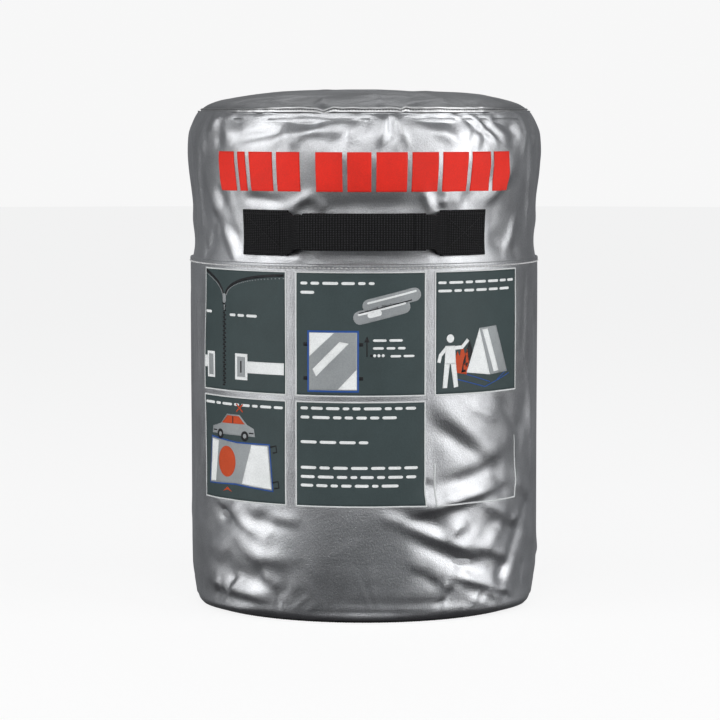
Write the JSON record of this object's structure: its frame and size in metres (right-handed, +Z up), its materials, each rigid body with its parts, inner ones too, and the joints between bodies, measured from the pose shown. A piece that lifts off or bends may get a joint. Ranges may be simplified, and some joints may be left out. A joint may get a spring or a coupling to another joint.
{
  "type": "fire blanket",
  "caption": "Large fire blanket rolled up in a tall round silver fabric bag with a zipped fold-back lid, webbing carry handle and printed instruction panels.",
  "frame": {"origin": "middle of the flat base, on the floor", "axes": "+Z up the bag, -Y the printed front with the handle, +X to the viewer's right"},
  "size_m": [0.4016, 0.4269, 0.582],
  "materials": {
    "silver_fabric": "metallic silver coating on woven glass cloth, satin",
    "black_webbing": "ribbed polypropylene webbing",
    "zip_tape": "woven tape",
    "zip_coil": "nylon coil",
    "zip_metal": "nickel-plated zinc, satin",
    "pull_grip": "soft moulded grip",
    "red_print": "screen print on the silver coating",
    "grey_print": "screen print on the silver coating",
    "white_print": "screen print on the silver coating",
    "blanket_cloth": "coated glass-fibre cloth",
    "blue_binding": "woven edge tape"
  },
  "bodies": {
    "bag": {"lower_wall": "silver_fabric", "upper_wall": "silver_fabric", "base_panel": "silver_fabric", "base_binding": "black_webbing", "lower_back_seam": "silver_fabric", "upper_back_seam": "silver_fabric", "lid_rear_panel": "silver_fabric", "rear_rim_band": "silver_fabric", "zip_tape_lower": "zip_tape", "zip_coil_lower": "zip_coil", "zip_stops": "zip_metal", "zip_end_tabs": "silver_fabric", "handle_anchor_left": "black_webbing", "handle_anchor_right": "black_webbing", "handle_backing": "black_webbing", "handle_strap_ends": "black_webbing", "title_print": "red_print", "instruction_panel_1": "grey_print", "instruction_panel_2": "grey_print", "instruction_panel_3": "grey_print", "instruction_panel_4": "grey_print", "instruction_panel_5": "grey_print", "panel_frames": "white_print", "open_frame": "white_print", "blanket_roll": "blanket_cloth", "blanket_edge_binding": "blue_binding", "blanket_pull_loops": "black_webbing"},
    "lid": {"lid_panel": "silver_fabric", "lid_rim_band": "silver_fabric", "zip_tape_upper": "zip_tape", "zip_coil_upper": "zip_coil"},
    "slider": {"zip_slider": "zip_metal"},
    "pull": {"zip_pull_link": "zip_metal", "zip_pull_grip": "pull_grip"},
    "handle": {"handle_strap": "black_webbing", "handle_grip_wrap": "black_webbing"}
  },
  "joints": [
    {"name": "lid_fold", "type": "hinge", "parent": "bag", "child": "lid", "pos_m": [0, 0.15, 0.5728], "axis": [-1, 0, 0], "range_deg": [0, 150]},
    {"name": "zip_run", "type": "hinge", "parent": "bag", "child": "slider", "pos_m": [0, 0, 0.5582], "axis": [0, 0, -1], "range_deg": [0, 262]},
    {"name": "pull_flip", "type": "hinge", "parent": "slider", "child": "pull", "pos_m": [0.14287, 0.12419, 0.5582], "axis": [0.6561, -0.7547, 0], "range_deg": [0, 115]},
    {"name": "handle_swing", "type": "hinge", "parent": "bag", "child": "handle", "pos_m": [0, -0.17964, 0.427], "axis": [1, 0, 0], "range_deg": [-25, 25], "stiffness_Nm_per_rad": 0.6, "deforming": ["handle_strap_ends"]}
  ]
}
